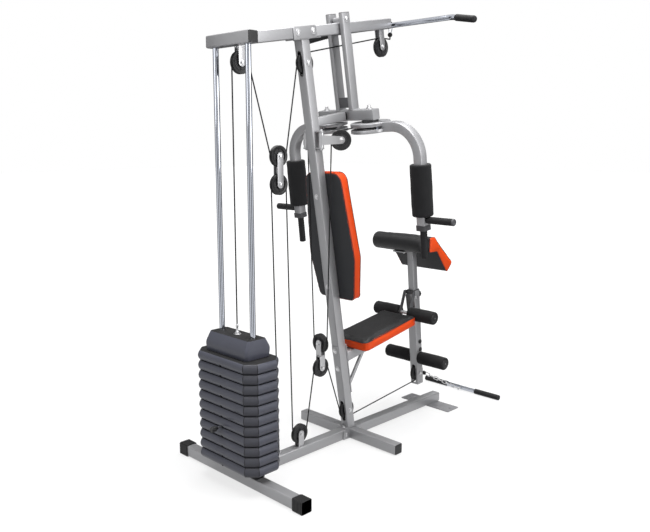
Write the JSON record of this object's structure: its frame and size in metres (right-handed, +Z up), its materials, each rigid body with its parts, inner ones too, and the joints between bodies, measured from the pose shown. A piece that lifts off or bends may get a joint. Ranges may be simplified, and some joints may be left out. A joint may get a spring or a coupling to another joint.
{
  "type": "multi gym",
  "caption": "Home multi gym: weight stack on guide rods, leaning upright, lat pull bar, press and butterfly arms, seat, curl pad, leg lever and low row bar.",
  "frame": {"origin": "On the floor under the middle of the machine's overall box.", "axes": "+X forward, the way the user faces; +Y to the user's left; +Z up."},
  "size_m": [1.88, 1.164, 2.0927],
  "materials": {
    "silver_paint": "satin silver-grey powder coat",
    "chrome": "polished chrome plate",
    "zinc": "bright zinc plate",
    "plate_shell": "dark grey moulded shell, faint blue cast, semi-matt",
    "black_plastic": "moulded black plastic",
    "black_steel": "black powder coat",
    "vinyl": "black vinyl with an orange-red side band",
    "foam": "black closed-cell foam, fine grain",
    "cable_coat": "black coated steel cable",
    "rubber": "black rubber"
  },
  "bodies": {
    "frame": {"base_beam": "silver_paint", "rear_crossbar": "silver_paint", "rear_cap_left": "black_plastic", "rear_cap_right": "black_plastic", "mid_crossbar_left": "silver_paint", "mid_crossbar_right": "silver_paint", "main_upright": "silver_paint", "arm_bumper": "rubber", "rear_top_beam": "silver_paint", "front_top_beam": "silver_paint", "guide_rod_left": "chrome", "guide_rod_right": "chrome", "stack_cushion": "rubber", "resting_plates": "plate_shell", "seat_beam": "silver_paint", "back_pad": "vinyl", "seat_pad": "vinyl", "front_post": "silver_paint", "post_fork": "black_steel", "upper_roller_left": "foam", "upper_roller_right": "foam", "lat_cable": "cable_coat", "leg_cable": "cable_coat", "press_cable": "cable_coat"},
    "stack": {"lifted_plates": "plate_shell", "stack_cap": "plate_shell", "selector_stem": "zinc"},
    "pin": {"selector_pin": "black_plastic"},
    "float_one": {"float_one_frame": "silver_paint"},
    "float_two": {"float_two_frame": "silver_paint"},
    "swivel_left": {"swivel_bracket_left": "silver_paint"},
    "swivel_right": {"swivel_bracket_right": "silver_paint"},
    "press": {"press_frame": "silver_paint"},
    "butterfly_left": {"arm_left": "silver_paint", "arm_foam_left": "foam"},
    "butterfly_right": {"arm_right": "silver_paint", "arm_foam_right": "foam"},
    "curl": {"curl_post": "silver_paint", "curl_pad": "vinyl", "curl_roll": "vinyl"},
    "knob": {"curl_knob": "black_plastic"},
    "lever": {"leg_lever": "silver_paint", "lower_roller_left": "foam", "lower_roller_right": "foam"},
    "lat": {"lat_bar": "chrome"},
    "row_end": {"low_stop": "black_plastic"},
    "row_bar": {"low_bar": "chrome", "low_chain": "zinc"},
    "wheel_top_rear": {"pulley_top_rear": "black_plastic"},
    "wheel_top_front": {"pulley_top_front": "black_plastic"},
    "wheel_upright_top": {"pulley_upright_top": "black_plastic"},
    "wheel_upright_low": {"pulley_upright_low": "black_plastic"},
    "wheel_base": {"pulley_base": "black_plastic"},
    "wheel_float_one_upper": {"pulley_float_one_upper": "black_plastic"},
    "wheel_float_one_lower": {"pulley_float_one_lower": "black_plastic"},
    "wheel_float_two_upper": {"pulley_float_two_upper": "black_plastic"},
    "wheel_float_two_lower": {"pulley_float_two_lower": "black_plastic"},
    "wheel_swivel_left": {"pulley_swivel_left": "black_plastic"},
    "wheel_swivel_right": {"pulley_swivel_right": "black_plastic"},
    "wheel_lever": {"pulley_lever": "black_plastic"}
  },
  "joints": [
    {"name": "stack_lift", "type": "slide", "parent": "frame", "child": "stack", "axis": [0, 0, 1], "range_m": [0, 0.9], "deforming": ["lat_cable"]},
    {"name": "pin_pull", "type": "slide", "parent": "stack", "child": "pin", "axis": [-1, 0, 0], "range_m": [0, 0.12]},
    {"name": "lat_pull", "type": "slide", "parent": "frame", "child": "lat", "axis": [0, 0, -1], "range_m": [0, 0.9]},
    {"name": "float_one_drop", "type": "slide", "parent": "frame", "child": "float_one", "axis": [0, 0, -1], "range_m": [0, 0.31]},
    {"name": "float_two_rise", "type": "slide", "parent": "frame", "child": "float_two", "axis": [0, 0, 1], "range_m": [0, 0.285]},
    {"name": "swivel_turn_left", "type": "hinge", "parent": "frame", "child": "swivel_left", "pos_m": [-0.32293, 0.049, 1.503], "axis": [0, 0, 1], "range_deg": [-30, 30]},
    {"name": "swivel_turn_right", "type": "hinge", "parent": "frame", "child": "swivel_right", "pos_m": [-0.32293, -0.049, 1.503], "axis": [0, 0, 1], "range_deg": [-30, 30]},
    {"name": "press_swing", "type": "hinge", "parent": "frame", "child": "press", "pos_m": [-0.16552, 0, 2.04679], "axis": [0, -1, 0], "range_deg": [0, 40], "deforming": ["press_cable"]},
    {"name": "butterfly_swing_left", "type": "hinge", "parent": "press", "child": "butterfly_left", "pos_m": [-0.08478, 0.137, 1.5643], "axis": [0.165, 0, -0.9863], "range_deg": [0, 75]},
    {"name": "butterfly_swing_right", "type": "hinge", "parent": "press", "child": "butterfly_right", "pos_m": [-0.08478, -0.137, 1.5643], "axis": [-0.165, 0, 0.9863], "range_deg": [0, 75]},
    {"name": "curl_height", "type": "slide", "parent": "frame", "child": "curl", "axis": [-0.0958, 0, 0.9954], "range_m": [0, 0.09]},
    {"name": "knob_pull", "type": "slide", "parent": "frame", "child": "knob", "axis": [0.9954, 0, 0.0958], "range_m": [0, 0.01], "stiffness_N_per_m": 400, "springref_m": -0.004},
    {"name": "leg_swing", "type": "hinge", "parent": "frame", "child": "lever", "pos_m": [0.41953, 0, 0.65922], "axis": [0, -1, 0], "range_deg": [0, 80], "deforming": ["leg_cable"]},
    {"name": "row_pull", "type": "slide", "parent": "lever", "child": "row_end", "axis": [0.9397, 0, 0.342], "range_m": [0, 0.6]},
    {"name": "row_bar_swing", "type": "hinge", "parent": "row_end", "child": "row_bar", "pos_m": [0.5495, 0, 0.194], "axis": [0, -1, 0], "range_deg": [0, 100]},
    {"name": "top_rear_spin", "type": "hinge", "parent": "frame", "child": "wheel_top_rear", "pos_m": [-0.74353, 0, 1.818], "axis": [0, 1, 0], "continuous": true},
    {"name": "top_front_spin", "type": "hinge", "parent": "frame", "child": "wheel_top_front", "pos_m": [0.13748, 0, 1.952], "axis": [0, 1, 0], "continuous": true},
    {"name": "upright_top_spin", "type": "hinge", "parent": "frame", "child": "wheel_upright_top", "pos_m": [-0.37929, 0, 1.83977], "axis": [0, 1, 0], "continuous": true},
    {"name": "upright_low_spin", "type": "hinge", "parent": "frame", "child": "wheel_upright_low", "pos_m": [-0.09651, 0, 0.14997], "axis": [0, 1, 0], "continuous": true},
    {"name": "base_spin", "type": "hinge", "parent": "frame", "child": "wheel_base", "pos_m": [-0.4235, 0, 0.115], "axis": [0, 1, 0], "continuous": true},
    {"name": "float_one_upper_spin", "type": "hinge", "parent": "float_one", "child": "wheel_float_one_upper", "pos_m": [-0.5395, 0, 1.434], "axis": [0, 1, 0], "continuous": true},
    {"name": "float_one_lower_spin", "type": "hinge", "parent": "float_one", "child": "wheel_float_one_lower", "pos_m": [-0.5395, 0, 1.31], "axis": [0, 1, 0], "continuous": true},
    {"name": "float_two_upper_spin", "type": "hinge", "parent": "float_two", "child": "wheel_float_two_upper", "pos_m": [-0.2805, 0, 0.534], "axis": [1, 0, 0], "continuous": true},
    {"name": "float_two_lower_spin", "type": "hinge", "parent": "float_two", "child": "wheel_float_two_lower", "pos_m": [-0.2805, 0, 0.413], "axis": [0, 1, 0], "continuous": true},
    {"name": "swivel_left_spin", "type": "hinge", "parent": "swivel_left", "child": "wheel_swivel_left", "pos_m": [-0.25201, 0.10441, 1.503], "axis": [0.6157, -0.788, 0], "continuous": true},
    {"name": "swivel_right_spin", "type": "hinge", "parent": "swivel_right", "child": "wheel_swivel_right", "pos_m": [-0.25201, -0.10441, 1.503], "axis": [-0.6157, -0.788, 0], "continuous": true},
    {"name": "lever_spin", "type": "hinge", "parent": "lever", "child": "wheel_lever", "pos_m": [0.48038, 0, 0.21501], "axis": [0, 1, 0], "continuous": true}
  ],
  "couplings": [
    {"joint": "lat_pull", "follows": "stack_lift", "ratio": 1},
    {"joint": "top_rear_spin", "follows": "stack_lift", "rad_per_m": 22.744},
    {"joint": "float_one_upper_spin", "follows": "stack_lift", "rad_per_m": -22.744},
    {"joint": "upright_top_spin", "follows": "stack_lift", "rad_per_m": 22.744},
    {"joint": "top_front_spin", "follows": "stack_lift", "rad_per_m": 22.744},
    {"joint": "float_one_drop", "follows": "leg_swing", "m_per_rad": 0.22},
    {"joint": "base_spin", "follows": "leg_swing", "ratio": -10.007},
    {"joint": "float_two_lower_spin", "follows": "leg_swing", "ratio": 10.007},
    {"joint": "upright_low_spin", "follows": "leg_swing", "ratio": -10.007},
    {"joint": "float_one_lower_spin", "follows": "leg_swing", "ratio": 5.004},
    {"joint": "float_two_rise", "follows": "press_swing", "m_per_rad": 0.4},
    {"joint": "swivel_left_spin", "follows": "press_swing", "ratio": 9.098},
    {"joint": "swivel_right_spin", "follows": "press_swing", "ratio": 9.098}
  ]
}
